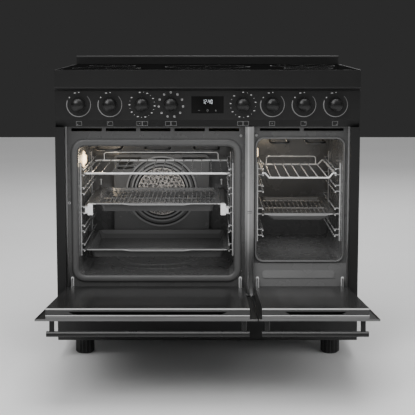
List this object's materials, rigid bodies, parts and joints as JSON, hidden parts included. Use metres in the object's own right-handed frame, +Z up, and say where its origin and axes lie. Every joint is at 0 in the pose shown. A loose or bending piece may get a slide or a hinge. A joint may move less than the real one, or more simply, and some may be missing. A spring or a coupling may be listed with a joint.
{
  "type": "range cooker",
  "caption": "Free-standing range cooker with a flat glass hob, knobs across the front, and a wide and a narrow oven with drop-down doors, shelves and trays.",
  "frame": {"origin": "on the floor, at the centre of the room that the cooker takes up with both doors open; the wall plane behind it is at Y = +0.5386 and the hob's front at Y = -0.0614", "axes": "+X to the right as seen from the front, +Y towards the wall behind the cooker, +Z up"},
  "size_m": [0.9, 1.0772, 0.896],
  "materials": {
    "black_steel": "matte black",
    "door_panel": "matte black",
    "door_frame": "dark grey enamel",
    "handle": "satin black",
    "bare_steel": "galvanised",
    "coil_tray": "mill",
    "feet": "satin black",
    "seal_rubber": "dark grey silicone",
    "ceramic_glass": "black, polished",
    "display_glass": "black, polished",
    "door_glass": "tinted, reflective",
    "lamp_glass": "frosted, warm",
    "switch_plastic": "grey",
    "knob": "satin black",
    "copper": "lacquered copper wire",
    "oven_enamel": "grey enamel, glossy",
    "tray_enamel": "dark enamel, glossy",
    "bright_trim": "brushed",
    "chrome_wire": "polished",
    "bright_steel": "zinc plated",
    "heating_tube": "dull dark",
    "mineral_wool": "loose wool"
  },
  "bodies": {
    "carcass": {"base_frame": "bare_steel", "feet": "feet", "side_panels": "black_steel", "back_panel": "bare_steel", "cable_gland": "seal_rubber", "lower_fascia": "black_steel", "hob_frame": "black_steel", "hob_glass": "ceramic_glass", "induction_coils": "copper", "coil_tray": "coil_tray", "upstand": "black_steel", "front_band": "black_steel", "control_panel": "black_steel", "display": "display_glass", "switches": "switch_plastic", "main_front": "oven_enamel", "aux_front": "oven_enamel", "front_trims": "bright_trim", "main_cavity": "oven_enamel", "aux_cavity": "oven_enamel", "main_gasket": "seal_rubber", "aux_gasket": "seal_rubber", "insulation": "mineral_wool", "main_ladders": "chrome_wire", "aux_ladders": "chrome_wire", "fan_cover": "oven_enamel", "fan_motor": "bare_steel", "fan_element": "heating_tube", "grill_elements": "heating_tube", "oven_lamps": "lamp_glass", "hinge_arms": "bright_steel", "runner_rails": "bright_steel"},
    "main_door": {"main_door_panel": "door_panel", "main_door_frame": "door_frame", "main_door_glass": "door_glass", "main_handle": "handle", "main_hinge_leaves": "bright_steel"},
    "aux_door": {"aux_door_panel": "door_panel", "aux_door_frame": "door_frame", "aux_door_glass": "door_glass", "aux_handle": "handle", "aux_hinge_leaves": "bright_steel"},
    "main_shelf": {"main_shelf": "chrome_wire"},
    "upper_tray": {"upper_tray": "tray_enamel", "upper_tray_grid": "chrome_wire", "runner_sliders": "bright_steel"},
    "runner_middles": {"runner_middles": "bright_steel"},
    "lower_tray": {"lower_tray": "tray_enamel"},
    "aux_shelf": {"aux_shelf": "chrome_wire"},
    "aux_tray": {"aux_tray": "tray_enamel", "aux_tray_grid": "chrome_wire"},
    "fan": {"fan": "bright_steel"},
    "knob_1": {"knob_1": "knob"},
    "knob_2": {"knob_2": "knob"},
    "knob_3": {"knob_3": "knob"},
    "knob_4": {"knob_4": "knob"},
    "knob_5": {"knob_5": "knob"},
    "knob_6": {"knob_6": "knob"},
    "knob_7": {"knob_7": "knob"},
    "knob_8": {"knob_8": "knob"}
  },
  "joints": [
    {"name": "main_door_hinge", "type": "hinge", "parent": "carcass", "child": "main_door", "pos_m": [-0.1535, -0.06139, 0.197], "axis": [-1, 0, 0], "range_deg": [0, 84]},
    {"name": "aux_door_hinge", "type": "hinge", "parent": "carcass", "child": "aux_door", "pos_m": [0.2765, -0.06139, 0.197], "axis": [-1, 0, 0], "range_deg": [0, 84]},
    {"name": "main_shelf_slide", "type": "slide", "parent": "carcass", "child": "main_shelf", "axis": [0, 1, 0], "range_m": [-0.3, 0]},
    {"name": "upper_tray_slide", "type": "slide", "parent": "carcass", "child": "upper_tray", "axis": [0, 1, 0], "range_m": [-0.3, 0]},
    {"name": "runner_middle_slide", "type": "slide", "parent": "carcass", "child": "runner_middles", "axis": [0, 1, 0], "range_m": [-0.15, 0]},
    {"name": "lower_tray_slide", "type": "slide", "parent": "carcass", "child": "lower_tray", "axis": [0, 1, 0], "range_m": [-0.3, 0]},
    {"name": "aux_shelf_slide", "type": "slide", "parent": "carcass", "child": "aux_shelf", "axis": [0, 1, 0], "range_m": [-0.3, 0]},
    {"name": "aux_tray_slide", "type": "slide", "parent": "carcass", "child": "aux_tray", "axis": [0, 1, 0], "range_m": [-0.3, 0]},
    {"name": "fan_spin", "type": "hinge", "parent": "carcass", "child": "fan", "pos_m": [-0.1535, 0.37761, 0.448], "axis": [0, 1, 0], "continuous": true},
    {"name": "knob_1_turn", "type": "hinge", "parent": "carcass", "child": "knob_1", "pos_m": [-0.38, -0.05339, 0.7655], "axis": [0, 1, 0], "range_deg": [0, 300]},
    {"name": "knob_2_turn", "type": "hinge", "parent": "carcass", "child": "knob_2", "pos_m": [-0.288, -0.05339, 0.7655], "axis": [0, 1, 0], "range_deg": [0, 300]},
    {"name": "knob_3_turn", "type": "hinge", "parent": "carcass", "child": "knob_3", "pos_m": [-0.193, -0.05339, 0.7655], "axis": [0, 1, 0], "range_deg": [0, 315]},
    {"name": "knob_4_turn", "type": "hinge", "parent": "carcass", "child": "knob_4", "pos_m": [-0.108, -0.05339, 0.7655], "axis": [0, 1, 0], "continuous": true},
    {"name": "knob_5_turn", "type": "hinge", "parent": "carcass", "child": "knob_5", "pos_m": [0.105, -0.05339, 0.7655], "axis": [0, 1, 0], "range_deg": [0, 315]},
    {"name": "knob_6_turn", "type": "hinge", "parent": "carcass", "child": "knob_6", "pos_m": [0.191, -0.05339, 0.7655], "axis": [0, 1, 0], "range_deg": [0, 300]},
    {"name": "knob_7_turn", "type": "hinge", "parent": "carcass", "child": "knob_7", "pos_m": [0.284, -0.05339, 0.7655], "axis": [0, 1, 0], "range_deg": [0, 300]},
    {"name": "knob_8_turn", "type": "hinge", "parent": "carcass", "child": "knob_8", "pos_m": [0.377, -0.05339, 0.7655], "axis": [0, 1, 0], "range_deg": [0, 300]}
  ],
  "couplings": [
    {"joint": "runner_middle_slide", "follows": "upper_tray_slide", "ratio": 0.5}
  ]
}
